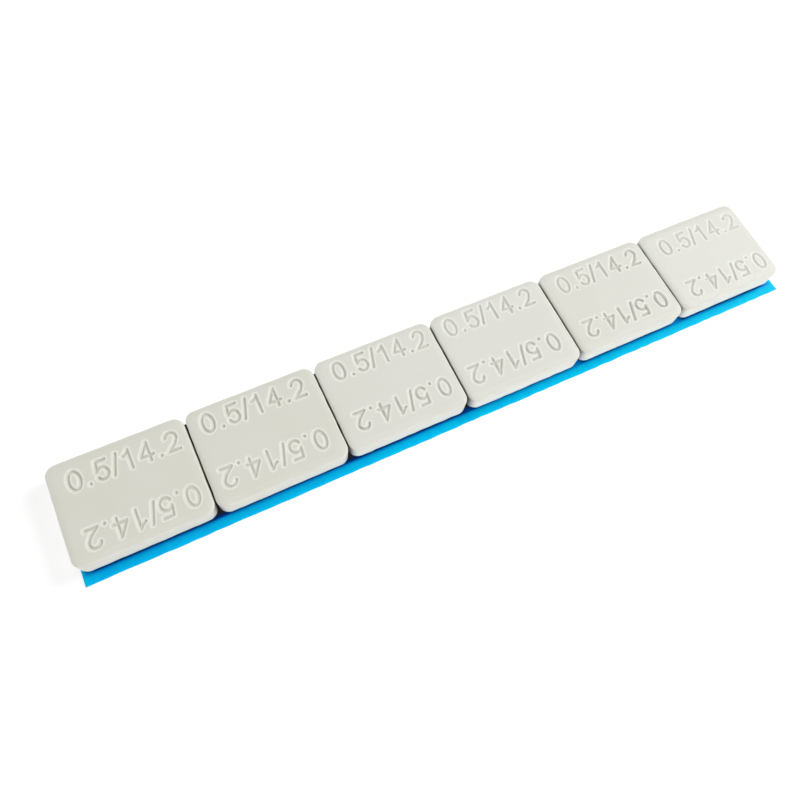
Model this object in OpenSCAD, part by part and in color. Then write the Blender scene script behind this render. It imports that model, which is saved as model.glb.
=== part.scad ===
// Stick-on wheel balance weight: a row of coated steel segments on one strip of
// double-sided foam tape, whose release film stands out along the front edge.
// X runs along the strip, Y to its back and Z up from the underside of the film.

/* [Steel segments] */
// Number of segments in the strip
segment_count = 6; // [1:1:12]
// Length of one segment along the strip
segment_l = 24.3; // [15:0.1:40]
// Width of the flat bar that the segments are made of
segment_w = 19.05; // [12:0.05:30]
// Thickness of a segment
segment_t = 3.97; // [2.5:0.01:8]
// Gap between neighbours, where the strip bends and is cut apart
segment_gap = 0.2; // [0.1:0.05:1]
// Radius of the upright corners, seen from above
corner_r = 2; // [2:0.1:5]
// Width of the shallow shoulder on which the top falls away to its edge
shoulder_w = 1.6; // [1:0.1:1.8]
// Radius of the shallow shoulder
shoulder_r = 4.5; // [4:0.5:12]
// Radius of the rounded upper edge below the shoulder
edge_r = 0.5; // [0.3:0.05:0.8]
// Bevel of the lower edge, in the height and the width
lower_break = 0.2; // [0.1:0.05:0.4]

/* [Foam tape] */
// Thickness of the foam with its two adhesive faces
tape_t = 0.8; // [0.4:0.1:1.6]
// How far the tape stays behind the outer faces of the row of segments
tape_inset = 0.6; // [0:0.05:1]

/* [Release film] */
// Thickness of the film under the tape
film_t = 0.12; // [0.05:0.01:0.3]
// How far the film stands out in front of the segments, to be gripped and peeled
film_overhang = 1.9; // [0.5:0.05:6]
// How far the film stands out past the right end of the row of segments
film_end = 0.65; // [0:0.05:6]

/* [Hidden] */
$fn = 64;
pitch = segment_l + segment_gap;
strip_l = segment_count * pitch - segment_gap;
film_l = strip_l + film_end;
film_w = segment_w + film_overhang;
strip_left = -film_l / 2;
film_front = -film_w / 2;
segment_front = film_front + film_overhang;
segment_mid = segment_front + segment_w / 2;
tape_bottom = film_t;
tape_top = tape_bottom + tape_t;

// Centre of the upper edge's arc, which meets the wall and the shoulder's arc
// without a crease: both arcs have one tangent where they touch
edge_run = shoulder_w - edge_r;
edge_centre_z = segment_t - shoulder_r + sqrt(pow(shoulder_r - edge_r, 2) - pow(edge_run, 2));
// Distance from the shoulder's start to the point where the two arcs touch
touch_run = edge_run * shoulder_r / (shoulder_r - edge_r);

// Half of a segment's section: from its middle at x = 0 out to its wall at x = reach
module half_section(reach) {
    shoulder_start = reach - shoulder_w;
    difference() {
        union() {
            square([shoulder_start, segment_t]);
            square([reach, edge_centre_z]);
            intersection() {
                translate([shoulder_start, segment_t - shoulder_r]) circle(r = shoulder_r, $fn = 256);
                translate([shoulder_start, 0]) square([touch_run, segment_t]);
            }
            translate([reach - edge_r, edge_centre_z]) circle(r = edge_r);
        }
        polygon([[reach - lower_break, 0], [reach, lower_break], [reach + 1, lower_break], [reach + 1, -1],
            [reach - lower_break, -1]]);
    }
}

// Straight part of a segment: its whole section, as wide as span, carried over the length run
module straight_part(span, run) {
    rotate([90, 0, 0]) linear_extrude(height = run, center = true) {
        half_section(span / 2);
        mirror([1, 0]) half_section(span / 2);
    }
}

// One segment, standing on z = 0 with its middle over the origin: two crossed
// straight parts and four turned corners
module segment() {
    straight_part(segment_l, segment_w - 2 * corner_r);
    rotate([0, 0, 90]) straight_part(segment_w, segment_l - 2 * corner_r);
    for (x = [-1, 1], y = [-1, 1])
        translate([x * (segment_l / 2 - corner_r), y * (segment_w / 2 - corner_r), 0])
            rotate_extrude() half_section(corner_r);
}

// The segments are counted along X, from the left end of the strip
module weight(place) {
    x = strip_left + segment_l / 2 + (place - 1) * pitch;
    color([0.87, 0.87, 0.83]) translate([x, segment_mid, tape_top]) segment();
}

// One strip of foam under all the segments, which holds them in a row
module foam_tape() {
    color([0.09, 0.09, 0.09])
        translate([strip_left + tape_inset, segment_front + tape_inset, tape_bottom])
            cube([strip_l - 2 * tape_inset, segment_w - 2 * tape_inset, tape_t]);
}

// Film that covers the tape's lower face until the strip is stuck to a rim
module release_liner() {
    color([0.0, 0.60, 0.85])
        translate([strip_left, film_front, 0]) cube([film_l, film_w, film_t]);
}

for (i = [1:segment_count]) weight(i);
foam_tape();
release_liner();
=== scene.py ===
import math

import bpy
import mathutils
import numpy as np
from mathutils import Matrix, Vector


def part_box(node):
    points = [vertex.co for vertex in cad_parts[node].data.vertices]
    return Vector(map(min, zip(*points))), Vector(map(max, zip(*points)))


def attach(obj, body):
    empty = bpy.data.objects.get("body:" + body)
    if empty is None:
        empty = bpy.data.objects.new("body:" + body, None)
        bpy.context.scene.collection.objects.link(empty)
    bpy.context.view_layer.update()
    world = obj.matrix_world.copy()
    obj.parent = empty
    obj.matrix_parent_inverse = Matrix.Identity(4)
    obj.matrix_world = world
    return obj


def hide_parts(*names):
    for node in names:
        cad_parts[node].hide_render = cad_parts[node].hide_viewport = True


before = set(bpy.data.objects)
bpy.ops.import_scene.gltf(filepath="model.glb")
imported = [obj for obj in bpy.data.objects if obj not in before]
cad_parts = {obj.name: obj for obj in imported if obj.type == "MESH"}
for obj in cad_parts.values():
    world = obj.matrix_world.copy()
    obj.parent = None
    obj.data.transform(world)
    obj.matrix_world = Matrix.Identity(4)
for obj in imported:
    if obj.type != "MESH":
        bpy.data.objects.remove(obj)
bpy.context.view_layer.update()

mm = 0.001  # shapes are worked out in millimetres, Blender's objects are in metres


# Helpers for numbers

def ramp(value, start, end):
    # 0 up to start, 1 from end on and a straight rise between them; end may be the smaller of the two
    return np.clip((value - start) / (end - start), 0, 1)


def bell(distance, reach):
    # Bell curve that is 1 at no distance and 1/e at a distance of reach
    return np.exp(-(distance / reach) ** 2)


def linesThrough(stops, counts):
    # Rising values from the first stop to the last: between each stop and the next, both included, as many
    # as its count says
    parts = [np.linspace(start, end, count)[:-1]
             for start, end, count in zip(stops[:-1], stops[1:], counts)]
    return np.concatenate([*parts, stops[-1:]])


def softNoise(rng, x, y, wavelength, count=10):
    # Sum of sine waves of random heading and phase, 0.7 to 1.5 times the wavelength long; most of it lies
    # within -1 to 1
    total = np.zeros(np.broadcast(x, y).shape)
    for _ in range(count):
        heading, phase = rng.uniform(0, 2 * math.pi, 2)
        waves = 2 * math.pi / (wavelength * rng.uniform(0.7, 1.5))
        total += np.sin(waves * (x * math.cos(heading) + y * math.sin(heading)) + phase)
    return total / math.sqrt(count)


def unitNoise(rng, x, y, wavelength):
    # Soft noise brought to the range 0 to 1
    return np.clip(softNoise(rng, x, y, wavelength) * 0.5 + 0.5, 0, 1)


def boxMm(name):
    # Lowest and highest corner of a CAD node, in millimetres
    low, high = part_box(name)
    return np.array(low) / mm, np.array(high) / mm


# Helpers for meshes

def gridFaces(index):
    # One quad between each two rows and columns of vertex numbers, anticlockwise for rows up, columns right
    corners = [index[:-1, :-1], index[:-1, 1:], index[1:, 1:], index[1:, :-1]]
    return np.stack(corners, -1).reshape(-1, 4)


def closedRows(index):
    # Repeats the first column behind the last one, so that each ring of faces closes
    return np.concatenate([index, index[:, :1]], axis=1)


def borderLoop(index):
    # Vertex numbers once round a grid's border
    return np.concatenate([index[0, :-1], index[:-1, -1], index[-1, :0:-1], index[:0:-1, 0]])


def makePiece(name, points, quads, caps, attributes=()):
    # Puts computed points (mm), smooth quads and flat end caps into a mesh object at the origin, with one
    # value per point for each attribute
    mesh = bpy.data.meshes.new(name)
    mesh.vertices.add(len(points))
    mesh.vertices.foreach_set("co", (points * mm).astype(np.float32).ravel())
    corners = np.concatenate([quads.ravel(), *caps]).astype(np.int32)
    sizes = np.array([4] * len(quads) + [len(cap) for cap in caps])
    mesh.loops.add(len(corners))
    mesh.loops.foreach_set("vertex_index", corners)
    mesh.polygons.add(len(sizes))
    mesh.polygons.foreach_set("loop_start", (np.cumsum(sizes) - sizes).astype(np.int32))
    mesh.update(calc_edges=True)
    smooth = np.ones(len(sizes), bool)
    smooth[len(quads):] = False
    mesh.polygons.foreach_set("use_smooth", smooth)
    for attributeName, values in attributes:
        layer = mesh.attributes.new(attributeName, "FLOAT", "POINT")
        layer.data.foreach_set("value", values.astype(np.float32))
    mesh.validate()
    piece = bpy.data.objects.new(name, mesh)
    bpy.context.scene.collection.objects.link(piece)
    return piece


def finishPiece(piece, material, node):
    # Dresses a piece, lets it ride on the one rigid body and stand for its CAD node
    piece.data.materials.append(material)
    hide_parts(node)
    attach(piece, "root")
    return piece


# Helpers for materials

def newMaterial(name):
    material = bpy.data.materials.new(name)
    material.use_nodes = True
    return material, material.node_tree.nodes, material.node_tree.links


def attributeValue(nodes, name):
    attribute = nodes.new("ShaderNodeAttribute")
    attribute.attribute_name = name
    return attribute.outputs["Fac"]


def noiseValue(nodes, links, sizeMm, detail, stretch=(1, 1, 1)):
    # Noise on object coordinates, whose blobs are about sizeMm across
    place = nodes.new("ShaderNodeTexCoord")
    turn = nodes.new("ShaderNodeMapping")
    turn.inputs["Scale"].default_value = stretch
    noise = nodes.new("ShaderNodeTexNoise")
    noise.inputs["Scale"].default_value = 1 / (sizeMm * mm)
    noise.inputs["Detail"].default_value = detail
    links.new(place.outputs["Object"], turn.inputs["Vector"])
    links.new(turn.outputs["Vector"], noise.inputs["Vector"])
    return noise.outputs["Fac"]


def combine(nodes, links, operation, first, second):
    # Sum, product or maximum of two nodes' outputs
    result = nodes.new("ShaderNodeMath")
    result.operation = operation
    links.new(first, result.inputs[0])
    links.new(second, result.inputs[1])
    return result.outputs[0]


def mixColours(nodes, links, factor, first, second, blend="MIX"):
    # Goes from the first colour to the second by a factor, or to the product of both where the blend is
    # MULTIPLY; each colour is a tuple or another node's output
    mix = nodes.new("ShaderNodeMix")
    mix.data_type = "RGBA"
    mix.blend_type = blend
    for socket, value in ((mix.inputs[6], first), (mix.inputs[7], second)):
        if isinstance(value, tuple):
            socket.default_value = (*value, 1)
        else:
            links.new(value, socket)
    links.new(factor, mix.inputs[0])
    return mix.outputs[2]


def spread(nodes, links, value, low, high, fromLow=0.3, fromHigh=0.7):
    # Maps values between fromLow and fromHigh, where most of a noise lies, to the range low to high, and
    # holds the rest at its ends
    change = nodes.new("ShaderNodeMapRange")
    change.inputs["From Min"].default_value = fromLow
    change.inputs["From Max"].default_value = fromHigh
    change.inputs["To Min"].default_value = low
    change.inputs["To Max"].default_value = high
    links.new(value, change.inputs["Value"])
    return change.outputs["Result"]


def addBump(nodes, links, shader, height, depthMm):
    bump = nodes.new("ShaderNodeBump")
    bump.inputs["Strength"].default_value = 1
    bump.inputs["Distance"].default_value = depthMm * mm
    links.new(height, bump.inputs["Height"])
    links.new(bump.outputs["Normal"], shader.inputs["Normal"])


# Powder-coated steel segments

segmentValues = {
    "seed": 100,              # plus the segment's number
    "cornerRadius": 2.0,      # upright corners, seen from above
    "shoulderWidth": 1.6,     # shallow fall of the top towards its edge
    "shoulderRadius": 4.5,
    "edgeRadius": 0.5,        # rounded upper edge below the shoulder
    "lowerRadius": 0.2,       # worn lower edge
    "fineStep": 0.075,        # mesh spacing in the stamped rows
    "coarseStep": 0.16,       # mesh spacing towards the corners
    "plainStep": 0.3,         # mesh spacing between the rows
    "fineHalf": (10.6, 2.45),     # half the length and half the width of a finely meshed row
    "fineMargin": (0.4, 0.3),     # its least distance from the border of the top's mesh
    "profileRows": (10, 6, 5),    # mesh rows of the round upper edge, the wall and the lower edge
    "waviness": 0.012,        # how uneven the coated top is
    "waveLength": 9,
    "waveInset": 1.5,         # distance from the border of the top's mesh at which it is fully uneven
    "wallWaviness": 0.05,     # how uneven the walls are
    "wallWaveLength": 3.5,
    # how far each segment's walls stand out from their nominal places: in front, at the left, at the right
    "shifts": [(-0.08, 0.0, -0.01), (0.02, -0.02, 0.11), (-0.12, -0.15, -0.24),
               (0.16, 0.16, -0.04), (0.0, -0.04, -0.14), (-0.1, 0.06, 0.0)],
    # how far each coat leans to the warmer, darker tone
    "warmth": [0.9, 0.75, 0.3, 0.0, 0.35, 0.15],
    "stamp": {
        "text": "0.5/14.2",       # plain numbers: half an ounce, 14.2 grams
        "height": 3.95,           # of a figure
        "wideStep": 0.7765,       # from one figure to the next, in units of the height
        "narrowStep": 0.388,      # the same for the dot and the slash
        "rowOffset": 5.4,         # from the stamp's middle to the middle of a row
        "rowMargin": 1,           # distance beyond a row's figures within which the stamp is worked out
        "halfWidth": 0.40,        # of a groove, at the surface
        "depth": 0.34,
        "lip": 0.016,             # metal pushed up beside the groove
        "lipOffset": 0.1,         # from the groove to the lip's crest
        "lipReach": 0.13,
        "colourShare": 0.9,       # share of a groove's half width that takes on the groove's painted shade; beyond it the lip's painted highlight
        "tilt": 0.22,             # how much deeper one side of the stamp may be struck
        "tiltReach": (10, 8),     # distances from the stamp's middle at which it is, along and across
        "turn": 0.6,              # degrees
        # where the stamp hit each segment, from its middle, and how hard
        "hits": [(0.7, -0.12, 0.92), (-0.2, 0.66, 1.0), (0.45, 0.8, 1.05), (-0.45, 0.8, 1.0),
                 (0.4, 0.4, 1.05), (0.8, -0.17, 0.72)],
    },
    # pairs are the places between which a value rises from 0 to 1; heights are above the underside
    "wearShadeLight": {
        "frontFall": (0.04, 0.39),     # fall of the front shoulder, on which the coat is worn and painted darker as shade
        "backWearShade": 0.4,                # strength of the worn line on the back shoulder, painted darker as shade
        "backInset": 0.8,              # its distance from the outline
        "backReach": 0.2,
        "backLimit": 1.5,              # distance from the back wall within which it is drawn
        "wallWearShade": (2.3, 3.3),         # heights on the front wall between which its worn coat with painted shade sets in
        "edgeWearShade": 0.32,               # where the round edge starts, rising to 1 within the next distance
        "edgeReach": 0.12,
        "wallLightLow": (1.3, 1.9),         # heights on the front wall where its painted warm light sets in
        "warmHigh": (3.6, 3.3),        # and ends
        "gapShade": (0.2, -0.15),         # heights from the lower end of the round edge, between which the painted shade on the end walls sets in
        "gapShadeFocus": 4,               # the higher, the less painted shade goes round the corners
    },
    # a noise is given by the size of its blobs, its detail and, where it has one, its stretch
    "coat": {
        "colour": (0.785, 0.787, 0.730),
        "colourWarm": (0.740, 0.735, 0.650),
        "mottle": 0.35,            # difference in the share of warm colour between the mottle's two ends
        "mottleNoise": (9.0, 3),
        # painted highlight on the lip beside each groove, lighter than the coat
        "lipHighlightColour": (0.890, 0.888, 0.832),
        # painted shade in the grooves, darker and warmer than the coat
        "grooveShadeColour": (0.66, 0.65, 0.575),
        "grooveShadeShare": 0.25,       # how far a groove takes on its painted shade
        "grooveShadeStart": 0.2,        # share of a groove's depth at which it begins to
        # worn coat with painted shade
        "wornShadeColour": (0.676, 0.672, 0.612),
        "wallLightTint": (1.045, 0.99, 0.985),         # what the front wall's colour is multiplied by, as painted warm light
        # painted shade on the end walls between segments
        "gapShadeColour": (0.12, 0.115, 0.10),
        "peelNoise": (0.55, 1),    # orange peel of the powder coat
        "peelDepth": 0.004,
        "roughness": (0.42, 0.54),
        "roughNoise": (2.5, 2),
        "specular": 0.22,
    },
}


def arcPoints(x, y, radiusX, radiusY, start, end, count=14):
    # Points of an elliptical arc about (x, y) between two angles in degrees
    angle = np.radians(np.linspace(start, end, count))
    return np.stack([x + radiusX * np.cos(angle), y + radiusY * np.sin(angle)], 1)


def figureStrokes(wide, narrow):
    # Centre lines of each figure, about x = 0, in units of its height; then how far it is to the next one
    two = np.concatenate([arcPoints(0, 0.69, 0.245, 0.25, 168, -22), [(0.09, 0.37), (-0.26, 0.06)]])
    five = np.concatenate([[(-0.225, 0.49)], arcPoints(0, 0.35, 0.25, 0.29, 142, -152, 18)])
    return {
        "0": ([arcPoints(0, 0.5, 0.25, 0.44, 90, 450, 30)], wide),
        "1": ([[(-0.19, 0.70), (-0.05, 0.79), (0.07, 0.94), (0.07, 0.06)]], wide),
        "2": ([two, [(-0.26, 0.06), (0.26, 0.06)]], wide),
        "4": ([[(0.11, 0.94), (-0.28, 0.31), (0.28, 0.31)], [(0.11, 0.94), (0.11, 0.06)]], wide),
        "5": ([[(0.23, 0.94), (-0.17, 0.94), (-0.225, 0.49)], five], wide),
        ".": ([[(0, 0.06), (0, 0.075)]], narrow),
        "/": ([[(-0.14, 0.03), (0.14, 0.97)]], narrow),
    }


def stampLines(values):
    # Line pieces of the stamp's two rows about its middle: a row at the back, and the same row turned half
    # round in front
    figures = figureStrokes(values["wideStep"], values["narrowStep"])
    advances = [figures[letter][1] for letter in values["text"]]
    starts = np.cumsum(advances) - np.array(advances) / 2 - sum(advances) / 2
    pieces = []
    for letter, start in zip(values["text"], starts):
        for stroke in figures[letter][0]:
            points = (np.array(stroke) + np.array([start, -0.5])) * values["height"]
            pieces.append(np.concatenate([points[:-1], points[1:]], 1))
    row = np.concatenate(pieces) + np.array([0, values["rowOffset"]] * 2)
    return row, -row


def distanceToLines(x, y, lines):
    # Shortest distance from each point (x, y) to any of the line pieces
    best = np.full(x.shape, np.inf)
    for ax, ay, bx, by in lines:
        length = (bx - ax) ** 2 + (by - ay) ** 2
        along = np.clip(((x - ax) * (bx - ax) + (y - ay) * (by - ay)) / length, 0, 1)
        away = np.hypot(x - ax - along * (bx - ax), y - ay - along * (by - ay))
        best = np.minimum(best, away)
    return best


def stampDepth(x, y, hit, rng, values):
    # Depth of the stamp at each point: a round-bottomed groove round each line, with a low lip beside it.
    # The second result is 1 at the bottom of a groove and -1 on the lip; the coat paints shade in the
    # grooves and a highlight on the lips from it.
    turn = math.radians(rng.uniform(-values["turn"], values["turn"]))
    px, py = x - hit[0], y - hit[1]
    px, py = px * math.cos(turn) + py * math.sin(turn), py * math.cos(turn) - px * math.sin(turn)
    reachX, reachY = values["tiltReach"]
    tilt = px / reachX * rng.uniform(-1, 1) + py / reachY * rng.uniform(-1, 1)
    strength = hit[2] * (1 + values["tilt"] * tilt)
    depth = np.zeros(x.shape)
    groove = np.zeros(x.shape)
    for row, side in zip(stampLines(values), (1, -1)):
        near = np.abs(py - side * values["rowOffset"]) < values["height"] / 2 + values["rowMargin"]
        distance = distanceToLines(px[near], py[near], row)
        inside = np.clip(1 - (distance / values["halfWidth"]) ** 2, 0, 1) ** 2
        lip = bell(distance - values["halfWidth"] - values["lipOffset"], values["lipReach"])
        depth[near] = (values["depth"] * inside - values["lip"] * lip) * strength[near]
        groove[near] = np.where(distance < values["halfWidth"] * values["colourShare"], inside, -lip)
    return depth, groove


def meshLines(reach, bands, values):
    # Mesh lines from -reach to reach: fine inside the bands, coarse from there to both ends, plain between
    # two bands
    stops = [-reach, *[edge for band in bands for edge in band], reach]
    steps = [values["coarseStep"]]
    for _ in bands:
        steps += [values["fineStep"], values["plainStep"]]
    steps[-1] = values["coarseStep"]
    counts = [max(2, round((end - start) / step) + 1)
              for start, end, step in zip(stops[:-1], stops[1:], steps)]
    return linesThrough(stops, counts)


def roundedPlan(x, y, halfLength, halfWidth, radius):
    # Maps a rectangle onto one with round corners: in each corner square a point goes from square to
    # quarter disc
    cornerX, cornerY = halfLength - radius, halfWidth - radius
    overX = np.clip(np.abs(x) - cornerX, 0, None) / radius
    overY = np.clip(np.abs(y) - cornerY, 0, None) / radius
    newX = np.minimum(np.abs(x), cornerX) + radius * overX * np.sqrt(1 - overY ** 2 / 2)
    newY = np.minimum(np.abs(y), cornerY) + radius * overY * np.sqrt(1 - overX ** 2 / 2)
    return np.copysign(newX, x), np.copysign(newY, y)


def topPlan(reachX, reachY, radius, hit, values):
    # Plan of the top's mesh, finer over the two rows where the stamp hit
    fineLength, fineWidth = values["fineHalf"]
    limitX, limitY = reachX - values["fineMargin"][0], reachY - values["fineMargin"][1]
    rowMiddle = values["stamp"]["rowOffset"]
    rowNear, rowFar = rowMiddle - fineWidth, rowMiddle + fineWidth
    bandX = [(max(-fineLength + hit[0], -limitX), min(fineLength + hit[0], limitX))]
    bandY = [(max(-rowFar + hit[1], -limitY), -rowNear + hit[1]),
             (rowNear + hit[1], min(rowFar + hit[1], limitY))]
    gridX, gridY = np.meshgrid(meshLines(reachX, bandX, values), meshLines(reachY, bandY, values))
    return roundedPlan(gridX, gridY, reachX, reachY, radius)


def sideProfile(edgeHeight, touchAngle, values):
    # The sides as (inset, height): round upper edge from the angle where it touches the shoulder, wall,
    # worn lower edge
    edge, worn = values["edgeRadius"], values["lowerRadius"]
    upperRows, wallRows, lowerRows = values["profileRows"]
    upper = np.linspace(touchAngle, math.pi / 2, upperRows)[1:]
    wall = np.linspace(edgeHeight, worn, wallRows)[1:-1]
    lower = np.linspace(0, math.pi / 2, lowerRows)
    return np.concatenate([
        np.stack([edge - edge * np.sin(upper), edgeHeight + edge * np.cos(upper)], 1),
        np.stack([0 * wall, wall], 1),
        np.stack([worn - worn * np.cos(lower), worn - worn * np.sin(lower)], 1),
    ])


def sideWearShadeLight(height, normalX, normalY, upperEnd, edgeHeight, neighbours, wearShadeLight):
    # The walls' worn coat with painted shade, on the round upper edge in front and fading out below it; the
    # front wall's painted warm light; and the painted shade on each end wall that faces a neighbour
    front = np.clip(-normalY, 0, 1)
    belowTop = ramp(height, upperEnd, upperEnd - wearShadeLight["edgeReach"])
    edgeShare = wearShadeLight["edgeWearShade"] + (1 - wearShadeLight["edgeWearShade"]) * belowTop
    wornAndShaded = ramp(height, *wearShadeLight["wallWearShade"]) * edgeShare * front
    # Painted warm light on the front wall, between two heights
    wallWarmLight = ramp(height, *wearShadeLight["wallLightLow"]) * ramp(height, *wearShadeLight["warmHigh"]) * front
    # Painted shade on each end wall that faces a neighbour, where shade falls in the gap
    facing = np.clip(np.array([-1, 1])[:, None] * normalX, 0, 1) ** wearShadeLight["gapShadeFocus"]
    facing *= np.array(neighbours)[:, None]
    gapShade = facing.sum(0) * ramp(height - edgeHeight, *wearShadeLight["gapShade"])
    return wornAndShaded.ravel(), wallWarmLight.ravel(), gapShade.ravel()


def segmentPiece(number, count, material, values):
    # Top: a grid over the plan, lowered by the shoulder and the stamp. Sides: rings round the grid's border,
    # each a given distance inside the outline and at a given height, down to a flat underside.
    name, stamp, wearShadeLight = f"weight_{number}", values["stamp"], values["wearShadeLight"]
    rng = np.random.default_rng(values["seed"] + number)
    low, high = boxMm(name)
    middle, half = (low + high) / 2, (high - low) / 2
    thickness = high[2] - low[2]
    radius, edge, shoulder = values["cornerRadius"], values["edgeRadius"], values["shoulderRadius"]
    edgeRun = values["shoulderWidth"] - edge
    touchRun = edgeRun * shoulder / (shoulder - edge)
    touchAngle = math.asin(edgeRun / (shoulder - edge))
    edgeHeight = thickness - shoulder + math.sqrt((shoulder - edge) ** 2 - edgeRun ** 2)
    border = values["shoulderWidth"] - touchRun  # inset of the top grid's border

    # The height falls along the shoulder's arc with the distance run outwards over the shoulder; grooves and
    # a slow unevenness, which fades in from the border, are taken away from it
    hit = stamp["hits"][number - 1]
    x, y = topPlan(half[0] - border, half[1] - border, radius - border, hit, values)
    outX = np.clip(np.abs(x) - half[0] + radius, 0, None)
    outY = np.clip(np.abs(y) - half[1] + radius, 0, None)
    inset = np.where((outX > 0) & (outY > 0), radius - np.hypot(outX, outY),
                     np.minimum(half[0] - np.abs(x), half[1] - np.abs(y)))
    run = np.clip(values["shoulderWidth"] - inset, 0, None)
    fall = shoulder - np.sqrt(shoulder ** 2 - run ** 2)
    depth, groove = stampDepth(x, y, hit, rng, stamp)
    waves = 1 + softNoise(rng, x, y, values["waveLength"])
    uneven = ramp(inset, border, border + values["waveInset"]) * values["waviness"]
    z = thickness - fall - depth - uneven * waves
    index = np.arange(x.size).reshape(x.shape)
    loop = borderLoop(index)

    # Each ring stands off the centre lines of the corners along their outward normals, by the corner radius
    # less the profile's inset and less an unevenness that sets in below the top
    profile = sideProfile(edgeHeight, touchAngle, values)
    height = profile[:, 1:]
    loopX, loopY = x.ravel()[loop], y.ravel()[loop]
    centreX = np.clip(loopX, -half[0] + radius, half[0] - radius)
    centreY = np.clip(loopY, -half[1] + radius, half[1] - radius)
    normalX, normalY = (loopX - centreX) / (radius - border), (loopY - centreY) / (radius - border)
    wobble = unitNoise(rng, loopX, loopY, values["wallWaveLength"]) * values["wallWaviness"]
    offset = radius - profile[:, :1] - wobble * ramp(height, thickness, thickness - edge)
    sides = np.stack([
        centreX + normalX * offset,
        centreY + normalY * offset,
        np.broadcast_to(height, offset.shape),
    ], -1)
    ringIndex = x.size + np.arange(offset.size).reshape(offset.shape)
    rings = closedRows(np.concatenate([loop[None], ringIndex]))
    quads = np.concatenate([gridFaces(index), gridFaces(rings)[:, ::-1]])

    # Each half is stretched away from the middle until its wall stands where the shift says
    points = np.concatenate([np.stack([x, y, z], -1).reshape(-1, 3), sides.reshape(-1, 3)])
    front, left, right = values["shifts"][number - 1]
    points[:, 1] *= 1 + np.where(points[:, 1] < 0, front / half[1], 0)
    points[:, 0] *= 1 + np.where(points[:, 0] < 0, left, right) / half[0]
    points += np.array([middle[0], middle[1], low[2]])
    points[:, 2] = np.minimum(points[:, 2], high[2])

    # The top's coat is worn and painted darker as shade where the front shoulder falls away, and along a
    # line on the back shoulder
    frontWearShade = ramp(fall, *wearShadeLight["frontFall"]) * (y < 0)
    backWearShade = wearShadeLight["backWearShade"] * bell(inset - wearShadeLight["backInset"], wearShadeLight["backReach"])
    backWearShade *= half[1] - y < wearShadeLight["backLimit"]
    neighbours = [number > 1, number < count]
    wornAndShaded, wallWarmLight, gapShade = sideWearShadeLight(height, normalX, normalY, thickness - fall.max(), edgeHeight,
                                       neighbours, wearShadeLight)
    noneOnTop = np.zeros(x.size)
    # For the coat: painted shade in the grooves and painted highlight on the lips, worn coat with painted
    # shade, painted warm light on the front wall, painted shade on the end walls, and each coat's tone
    attributes = [
        ("groove", np.concatenate([groove.ravel(), np.zeros(offset.size)])),
        ("wallWarmLight", np.concatenate([noneOnTop, wallWarmLight])),
        ("wornAndShaded", np.concatenate([(frontWearShade + backWearShade).ravel(), wornAndShaded])),
        ("gapShade", np.concatenate([noneOnTop, gapShade])),
        ("warmth", np.full(len(points), values["warmth"][number - 1])),
    ]
    piece = makePiece(f"segment_{number}", points, quads, [ringIndex[-1, ::-1]], attributes)
    finishPiece(piece, material, name)


def powderCoat(values):
    material, nodes, links = newMaterial("powderCoat")
    shader = nodes["Principled BSDF"]
    half = values["mottle"] / 2
    mottle = spread(nodes, links, noiseValue(nodes, links, *values["mottleNoise"]), -half, half)
    warmth = combine(nodes, links, "ADD", mottle, attributeValue(nodes, "warmth"))
    colour = mixColours(nodes, links, warmth, values["colour"], values["colourWarm"])
    groove = attributeValue(nodes, "groove")
    # Painted highlight: the lip beside each groove is painted lighter than the coat
    lip = spread(nodes, links, groove, 0, 1, 0, -1)
    colour = mixColours(nodes, links, lip, colour, values["lipHighlightColour"])
    # Painted shade: the grooves are painted darker from part of their depth on
    depth = spread(nodes, links, groove, 0, values["grooveShadeShare"], values["grooveShadeStart"], 1)
    colour = mixColours(nodes, links, depth, colour, values["grooveShadeColour"])
    # Worn coat with painted shade, painted warm light on the front wall, and painted shade on the end walls
    # between segments
    for place, placeColour, blend in (("wornAndShaded", "wornShadeColour", "MIX"),
                                      ("wallWarmLight", "wallLightTint", "MULTIPLY"),
                                      ("gapShade", "gapShadeColour", "MIX")):
        share = attributeValue(nodes, place)
        colour = mixColours(nodes, links, share, colour, values[placeColour], blend)
    links.new(colour, shader.inputs["Base Color"])
    rough = spread(nodes, links, noiseValue(nodes, links, *values["roughNoise"]), *values["roughness"])
    links.new(rough, shader.inputs["Roughness"])
    shader.inputs["Specular IOR Level"].default_value = values["specular"]
    addBump(nodes, links, shader, noiseValue(nodes, links, *values["peelNoise"]), values["peelDepth"])
    return material


coat = powderCoat(segmentValues["coat"])
segmentCount = sum(name.startswith("weight_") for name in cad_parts)
for number in range(1, segmentCount + 1):
    segmentPiece(number, segmentCount, coat, segmentValues)
    print(f"segment {number} of {segmentCount} is stamped and coated")


# Foam tape

tapeValues = {
    "seed": 7,
    "step": 0.25,           # mesh spacing along the tape
    "sideRows": 9,          # mesh rows over each cut side
    "sideHollow": 0.04,     # the cut sides pull in between the two adhesive faces
    "cellDepth": 0.035,     # open cells of the cut foam
    "cellLength": 0.6,
    "cellWaves": 24,        # waves that make up their pattern
    "cellLimit": 1.5,       # the deepest one, in units of their depth
    "dents": [0.1, 0.15, 0.3, 0.6, 0.6],    # how far the front side is drawn in at each gap
    "dentReach": 1.3,
    "colour": (0.008, 0.008, 0.009),
    "colourCell": (0.020, 0.019, 0.019),
    "cellNoise": (0.22, 3),
    "cellShare": (0.45, 0.75),    # noise between which the colour goes over to the cells' colour
    "roughness": (0.55, 0.9),
    "specular": 0.15,
    "bumpDepth": 0.06,
}


def gapPlaces(count):
    # Middle of each gap between two neighbouring segments, in millimetres along the strip
    boxes = [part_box(f"weight_{number}") for number in range(1, count + 1)]
    return [(left[1][0] + right[0][0]) / 2 / mm for left, right in zip(boxes[:-1], boxes[1:])]


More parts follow.
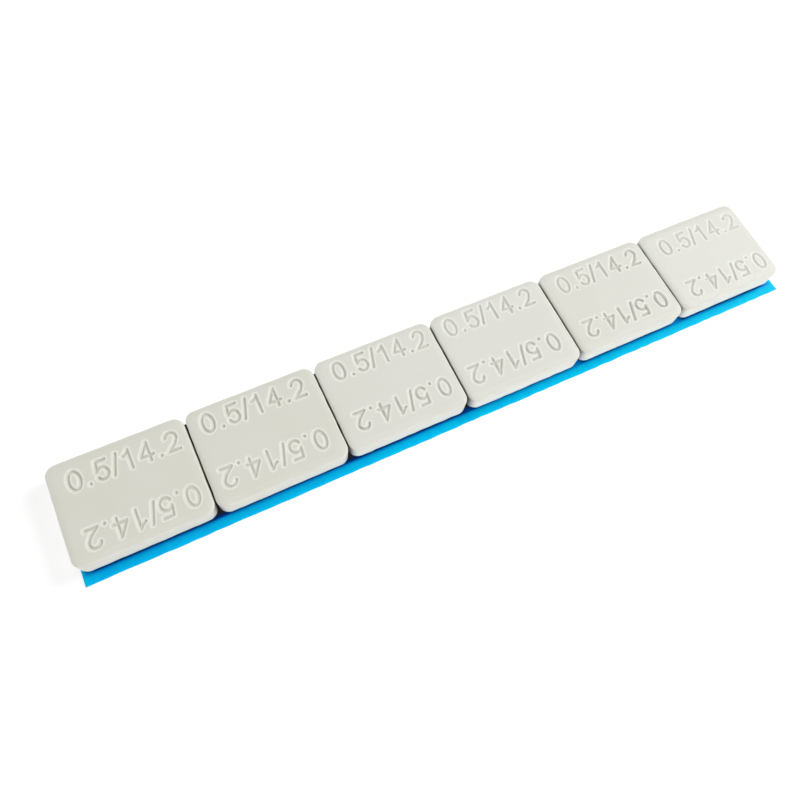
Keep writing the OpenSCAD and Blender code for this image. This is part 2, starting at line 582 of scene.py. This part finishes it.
def foamTape(gaps, values):
    # A ring of points round the tape's section is carried along it; the cut sides are hollow and pitted, and
    # the front side has a bell-shaped dent at each gap
    low, high = boxMm("foam_tape")
    rng = np.random.default_rng(values["seed"])
    stations = np.linspace(low[0], high[0], round((high[0] - low[0]) / values["step"]) + 1)
    t = np.linspace(0, 1, values["sideRows"])
    hollow = values["sideHollow"] * np.sin(math.pi * t)
    front = np.stack([low[1] + hollow[::-1], high[2] + (low[2] - high[2]) * t], 1)
    back = np.stack([high[1] - hollow, low[2] + (high[2] - low[2]) * t], 1)
    section = np.concatenate([front, back])
    inward = np.concatenate([np.sin(math.pi * t), -np.sin(math.pi * t)])
    along = np.broadcast_to(stations[:, None], (len(stations), len(section)))
    height = np.broadcast_to(section[:, 1], along.shape)
    cells = softNoise(rng, along, height + section[:, 0], values["cellLength"], values["cellWaves"])
    pits = np.clip(cells, 0, values["cellLimit"]) * values["cellDepth"]
    dents = sum(dent * bell(along - gap, values["dentReach"]) for gap, dent in zip(gaps, values["dents"]))
    dents = dents * (np.arange(len(section)) < len(front))
    points = np.stack([along, section[:, 0] + pits * inward + dents, height], -1)
    index = np.arange(along.size).reshape(along.shape)
    quads = gridFaces(closedRows(index))
    return makePiece("foamStrip", points.reshape(-1, 3), quads, [index[0, ::-1], index[-1]])


def blackFoam(values):
    material, nodes, links = newMaterial("blackFoam")
    shader = nodes["Principled BSDF"]
    cells = noiseValue(nodes, links, *values["cellNoise"])
    tone = spread(nodes, links, cells, 0, 1, *values["cellShare"])
    colour = mixColours(nodes, links, tone, values["colour"], values["colourCell"])
    links.new(colour, shader.inputs["Base Color"])
    links.new(spread(nodes, links, cells, *values["roughness"]), shader.inputs["Roughness"])
    shader.inputs["Specular IOR Level"].default_value = values["specular"]
    addBump(nodes, links, shader, cells, values["bumpDepth"])
    return material


gaps = gapPlaces(segmentCount)
tape = finishPiece(foamTape(gaps, tapeValues), blackFoam(tapeValues), "foam_tape")
print("foam tape is cut")


# Release film

filmValues = {
    "seed": 21,
    "stepX": 0.6,
    "stepY": 0.25,           # of the margin in front
    "rows": (5, 20, 5),      # mesh rows in the notches, under the tape and at the back
    "notchRun": 1.0,         # how far a notch between two segments goes in past the tape's front
    "backRun": 0.1,          # how far the rows at the back go in past the tape's back
    "lift": 0.07,            # how far the free margin rises at its edge
    "liftLength": 26,
    "liftShare": (0.45, 0.55),    # swing and middle of the rise, as shares of the lift
    "liftLimits": (0.1, 1.3),
    "cutWaviness": 0.1,      # how uneven the cut front edge is
    "cutLength": 4,
    # painted light and shade of the film, given as its lightness
    "lightEnds": (0.70, 0.97),    # of the margin, at the left end and at the right
    "recess": (0.28, 1.1),   # distances from the tape between which the painted shade beside it turns to light
    "recessLight": 0.06,     # at least, beside the tape
    "edgeLight": 0.8,        # near the ends and the back
    "endReach": 1.6,         # how far that reaches in from both ends
    "backReach": 0.5,        # and from the back
    "rimLight": 0.3,         # what the brighter rim adds at both ends
    "rimReach": 0.9,
    "notchLights": [0.06, 0.08, 0.15, 0.45, 0.5],    # at least, in each gap's notch
    "notchReach": 1.7,
    "backShadowStrength": 1.6,     # of the painted shadows at the back, one behind each gap
    "backShadowReach": 1.1,
    "undersideLight": 0.9,
    # colours at a lightness: in a painted shadow, in the painted shade of the recess beside the tape, in
    # front of it, and at the free edge
    "colours": [(0.0, (0.004, 0.005, 0.008)), (0.1, (0.0, 0.07, 0.40)), (0.35, (0.0, 0.30, 0.88)),
                (1.0, (0.0, 0.61, 0.92))],
    "streakNoise": (1.4, 3, (1, 0.35, 1)),
    "streaks": (0.92, 1.08),      # what they multiply the lightness by
    "rippleNoise": (1.8, 2, (1, 0.4, 1)),
    "rippleDepth": 0.01,
    "roughness": (0.32, 0.46),
    "roughNoise": (3.0, 2),
    "specular": 0.03,
}


def filmLight(x, y, low, high, gaps, values):
    # Painted light and shade of the upper surface, as a lightness: a trend along the strip, times a smooth
    # rise out of the painted shade beside the tape, which sets in earlier near the ends and the back. A
    # painted lighter rim is added at both ends, the notches are painted lit up, and painted shadows are laid
    # over the back. The second result is the trend alone.
    tapeLow, tapeHigh = boxMm("foam_tape")
    first, last = values["lightEnds"]
    trend = first + (last - first) * (x - low[0]) / (high[0] - low[0])
    outside = np.maximum.reduce([tapeLow[0] - x, x - tapeHigh[0], tapeLow[1] - y, y - tapeHigh[1]])
    share = ramp(outside, *values["recess"])
    toEnd, toBack = np.minimum(x - low[0], high[0] - x), high[1] - y
    nearEdge = np.maximum(np.exp(-toEnd / values["endReach"]), np.exp(-toBack / values["backReach"]))
    light = trend * np.maximum(share ** 2 * (3 - 2 * share), values["edgeLight"] * nearEdge)
    light += values["rimLight"] * np.exp(-toEnd / values["rimReach"])
    light = np.maximum(light, values["recessLight"])
    inNotch = y <= tapeLow[1] + values["notchRun"]
    atBack = y >= tapeHigh[1] - values["backRun"]
    for gap, notchLight in zip(gaps, values["notchLights"]):
        notch = notchLight * bell(x - gap, values["notchReach"])
        light = np.maximum(light, trend * notch * inNotch)
        # Painted shadow at the back behind each gap
        backNotchShadow = np.clip(values["backShadowStrength"] * bell(x - gap, values["backShadowReach"]), 0, 1)
        light *= 1 - backNotchShadow * atBack
    return light, trend


def releaseFilm(gaps, values):
    # Upper and lower surface share one grid, which is flat under the tape. In the free margin it rises as
    # the square of the distance from the tape, by an amount that wanders along the strip, and its rows draw
    # in towards the wavy cut edge as the fourth power of that distance.
    low, high = boxMm("release_liner")
    tapeLow, tapeHigh = boxMm("foam_tape")
    rng = np.random.default_rng(values["seed"])
    stationsX = np.linspace(low[0], high[0], round((high[0] - low[0]) / values["stepX"]) + 1)
    marginRows = round((tapeLow[1] - low[1]) / values["stepY"]) + 1
    stops = [low[1], tapeLow[1], tapeLow[1] + values["notchRun"], tapeHigh[1] - values["backRun"], high[1]]
    x, y = np.meshgrid(stationsX, linesThrough(stops, (marginRows, *values["rows"])))
    free = ramp(y, tapeLow[1], low[1])
    swing, middle = values["liftShare"]
    wander = softNoise(rng, stationsX, 0 * stationsX, values["liftLength"]) * swing + middle
    rise = values["lift"] * np.clip(wander, *values["liftLimits"]) * free ** 2
    cut = unitNoise(rng, stationsX, 0 * stationsX, values["cutLength"])
    y = y + free ** 4 * values["cutWaviness"] * cut
    top = np.stack([x, y, high[2] + rise], -1)
    bottom = np.stack([x, y, low[2] + rise], -1)
    upper = np.arange(x.size).reshape(x.shape)
    lower = upper + x.size
    loop = borderLoop(upper)
    edgeFaces = gridFaces(closedRows(np.stack([loop, loop + x.size])))[:, ::-1]
    quads = np.concatenate([gridFaces(upper), gridFaces(lower)[:, ::-1], edgeFaces])
    points = np.concatenate([top.reshape(-1, 3), bottom.reshape(-1, 3)])
    light, trend = filmLight(x, y, low, high, gaps, values)
    lightness = np.concatenate([light.ravel(), values["undersideLight"] * trend.ravel()])
    return makePiece("filmStrip", points, quads, [], [("lightness", lightness)])


def blueFilm(values):
    # Painted light and shade: deep blue in the painted shade beside the tape and lighter towards the free
    # edges, as painted light passing through the film
    material, nodes, links = newMaterial("blueFilm")
    shader = nodes["Principled BSDF"]
    streaks = spread(nodes, links, noiseValue(nodes, links, *values["streakNoise"]), *values["streaks"])
    light = combine(nodes, links, "MULTIPLY", attributeValue(nodes, "lightness"), streaks)
    tone = nodes.new("ShaderNodeValToRGB")
    for position, _ in values["colours"][1:-1]:
        tone.color_ramp.elements.new(position)
    for element, (position, colour) in zip(tone.color_ramp.elements, values["colours"]):
        element.position = position
        element.color = (*colour, 1)
    links.new(light, tone.inputs["Fac"])
    links.new(tone.outputs["Color"], shader.inputs["Base Color"])
    rough = spread(nodes, links, noiseValue(nodes, links, *values["roughNoise"]), *values["roughness"])
    links.new(rough, shader.inputs["Roughness"])
    shader.inputs["Specular IOR Level"].default_value = values["specular"]
    ripples = noiseValue(nodes, links, *values["rippleNoise"])
    addBump(nodes, links, shader, ripples, values["rippleDepth"])
    return material


finishPiece(releaseFilm(gaps, filmValues), blueFilm(filmValues), "release_liner")
print("release film is laid under the tape")


# Floor, light and camera

stageValues = {
    "floorSize": 0.6,                # metres from the middle to each side
    "floorDrop": 0.02,               # millimetres below the film
    "floorColour": (0.93, 0.93, 0.93),
    "floorGlow": 1.3,                # seen, but lights nothing, so that the ground reads as white
    # the glow's share beside the object and far off, and the distances in metres between which it grows;
    # the rest of the ground is lit by the lamps and keeps the shadow
    "glowShare": (0.5, 0.8),
    "glowReach": (0.11, 0.3),
    "skyStrength": 0.13,             # overhead part of the surroundings
    "bandStrength": 2.2,             # bright band all round the horizon, like the walls of a light tent
    # directions are sines of the angle above the horizon, or towards the right
    "bandTop": 0.36,                 # where the band ends
    "bandFade": 0.08,                # half of the range over which it does
    "bandRight": 0.3,                # share of the band's strength at the right, below the key lamp
    "rightReach": (0.3, 0.8),        # directions between which it goes down to that
    "bandBelow": 0.45,               # share of the band's strength below the horizon
    "belowReach": (-0.05, 0),
    # lamps: place and size in metres, power in watts
    "lamps": {
        "keyLamp": ((0.9, 0.08, 0.75), 0.42, 7.5),
        "topLamp": ((-0.12, 0.05, 0.9), 0.6, 2.0),
        "frontLamp": ((0.12, -0.3, 0.05), 0.15, 0.33),
    },
}

cameraValues = {
    "place": (-42.64, -44.33, 123.97),    # mm
    "turn": (22.937, -4.392, -25.619),    # degrees
    "lens": 31.89,
    "sensor": 36.0,
    "clipStart": 5,                       # mm
}


def whiteRays(nodes, links):
    # 1 for the rays that are to see white surroundings: from the camera, off glossy surfaces and through
    # clear ones
    rays = nodes.new("ShaderNodeLightPath").outputs
    seen = combine(nodes, links, "MAXIMUM", rays["Is Camera Ray"], rays["Is Glossy Ray"])
    return combine(nodes, links, "MAXIMUM", seen, rays["Is Transmission Ray"])


def paleFloor(values):
    material, nodes, links = newMaterial("paleFloor")
    nodes.remove(nodes["Principled BSDF"])
    diffuse = nodes.new("ShaderNodeBsdfDiffuse")
    diffuse.inputs["Color"].default_value = (*values["floorColour"], 1)
    glow = nodes.new("ShaderNodeEmission")
    glow.inputs["Strength"].default_value = values["floorGlow"]
    place = nodes.new("ShaderNodeTexCoord")
    distance = nodes.new("ShaderNodeVectorMath")
    distance.operation = "LENGTH"
    links.new(place.outputs["Object"], distance.inputs[0])
    share = spread(nodes, links, distance.outputs["Value"], *values["glowShare"], *values["glowReach"])
    mix = nodes.new("ShaderNodeMixShader")
    links.new(combine(nodes, links, "MULTIPLY", whiteRays(nodes, links), share), mix.inputs[0])
    links.new(diffuse.outputs[0], mix.inputs[1])
    links.new(glow.outputs[0], mix.inputs[2])
    links.new(mix.outputs[0], nodes["Material Output"].inputs["Surface"])
    size = values["floorSize"]
    corners = [(-size, -size, 0), (size, -size, 0), (size, size, 0), (-size, size, 0)]
    mesh = bpy.data.meshes.new("floor")
    mesh.from_pydata(corners, [], [(0, 1, 2, 3)])
    mesh.transform(mathutils.Matrix.Translation((0, 0, -values["floorDrop"] * mm)))
    mesh.materials.append(material)
    floor = bpy.data.objects.new("floor", mesh)
    bpy.context.scene.collection.objects.link(floor)


def softLamp(name, place, size, power):
    # A square lamp that faces the middle of the strip
    light = bpy.data.lights.new(name, "AREA")
    light.shape = "SQUARE"
    light.size = size
    light.energy = power
    lamp = bpy.data.objects.new(name, light)
    lamp.location = place
    lamp.rotation_euler = mathutils.Vector(place).to_track_quat("Z", "Y").to_euler()
    bpy.context.scene.collection.objects.link(lamp)


def lightTent(values):
    # White surroundings: an even sky above a brighter band, which is weaker at the right and below the
    # horizon; white rays see plain white instead
    world = bpy.data.worlds.new("lightTent")
    world.use_nodes = True
    nodes, links = world.node_tree.nodes, world.node_tree.links
    nodes["Background"].inputs["Color"].default_value = (1, 1, 1, 1)
    place = nodes.new("ShaderNodeTexCoord")
    split = nodes.new("ShaderNodeSeparateXYZ")
    links.new(place.outputs["Generated"], split.inputs[0])
    band = spread(nodes, links, split.outputs["Z"], values["bandStrength"], values["skyStrength"],
                  values["bandTop"] - values["bandFade"], values["bandTop"] + values["bandFade"])
    band.node.interpolation_type = "SMOOTHSTEP"
    right = spread(nodes, links, split.outputs["X"], 1, values["bandRight"], *values["rightReach"])
    below = spread(nodes, links, split.outputs["Z"], values["bandBelow"], 1, *values["belowReach"])
    light = combine(nodes, links, "MULTIPLY", band, right)
    light = combine(nodes, links, "MULTIPLY", light, below)
    strength = nodes.new("ShaderNodeMix")
    strength.inputs[3].default_value = 1.0
    links.new(whiteRays(nodes, links), strength.inputs[0])
    links.new(light, strength.inputs[2])
    links.new(strength.outputs[0], nodes["Background"].inputs["Strength"])
    bpy.context.scene.world = world


def photoCamera(values):
    camera = bpy.data.cameras.new("photoCamera")
    camera.lens = values["lens"]
    camera.sensor_width = values["sensor"]
    camera.clip_start = values["clipStart"] * mm
    holder = bpy.data.objects.new("photoCamera", camera)
    holder.location = [v * mm for v in values["place"]]
    holder.rotation_euler = [math.radians(v) for v in values["turn"]]
    bpy.context.scene.collection.objects.link(holder)
    bpy.context.scene.camera = holder


paleFloor(stageValues)
for name, (place, size, power) in stageValues["lamps"].items():
    softLamp(name, place, size, power)
lightTent(stageValues)
photoCamera(cameraValues)
bpy.context.scene.view_settings.view_transform = "Standard"
print("floor, light and camera are set")
